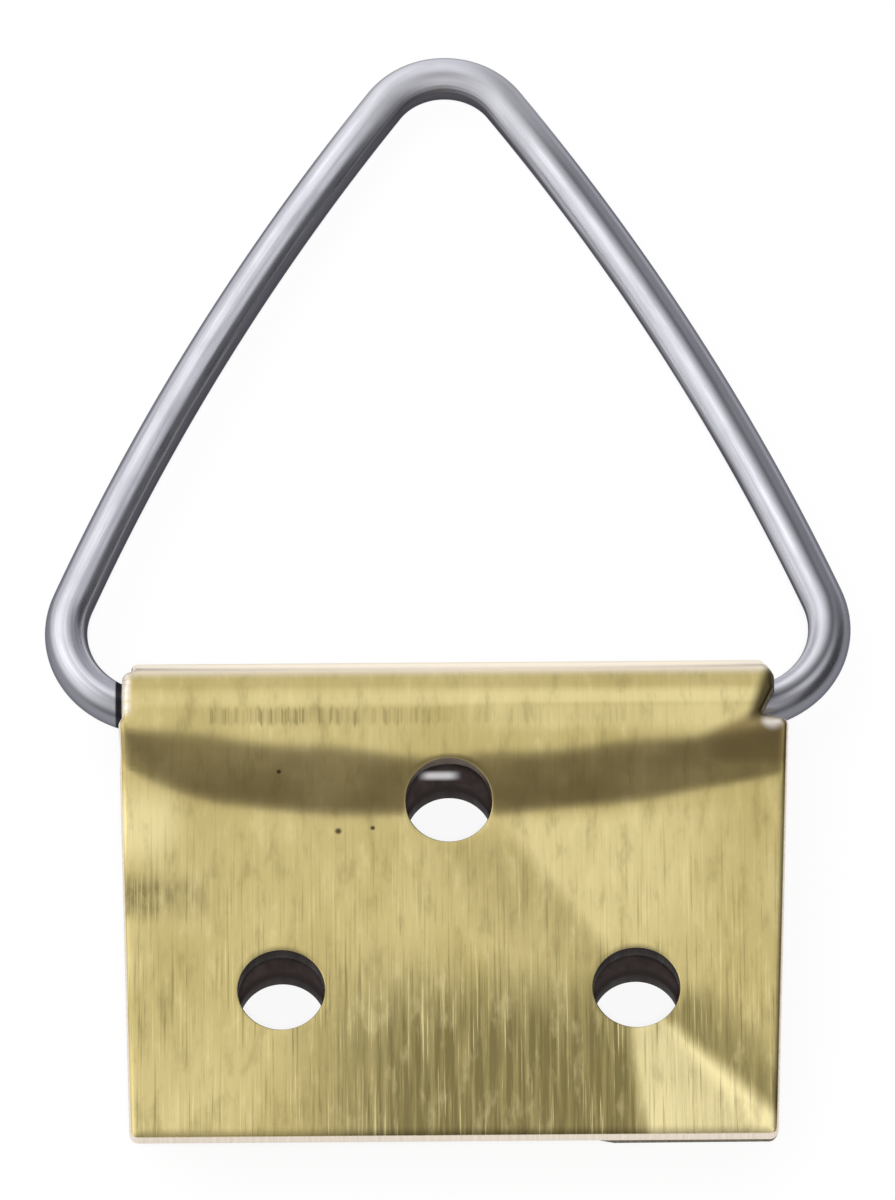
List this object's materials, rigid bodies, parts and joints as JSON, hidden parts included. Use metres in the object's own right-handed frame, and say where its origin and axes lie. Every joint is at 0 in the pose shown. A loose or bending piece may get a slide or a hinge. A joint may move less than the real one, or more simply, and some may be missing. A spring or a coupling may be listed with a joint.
{
  "type": "triangle picture hanger",
  "caption": "Triangle picture hanger: a bent steel wire triangle swings in the knuckle of a folded brass strap with screw holes through both leaves.",
  "frame": {"origin": "on the back face of the strap, on its middle line, halfway between the two rows of screw holes", "axes": "+Z out of the front leaf, +Y towards the triangle's tip, X along the bar that the triangle swings on"},
  "size_m": [0.0378, 0.0574, 0.0045],
  "materials": {
    "brass": "rolled sheet, brushed along the strap",
    "plated_wire": "bright zinc plated, drawn"
  },
  "bodies": {
    "strap": {"brass_strap": "brass"},
    "triangle": {"wire_triangle": "plated_wire"}
  },
  "joints": [
    {"name": "triangle_swing", "type": "hinge", "parent": "strap", "child": "triangle", "pos_m": [0, 0.01025, 0.00225], "axis": [1, 0, 0], "range_deg": [0, 166.5]}
  ]
}
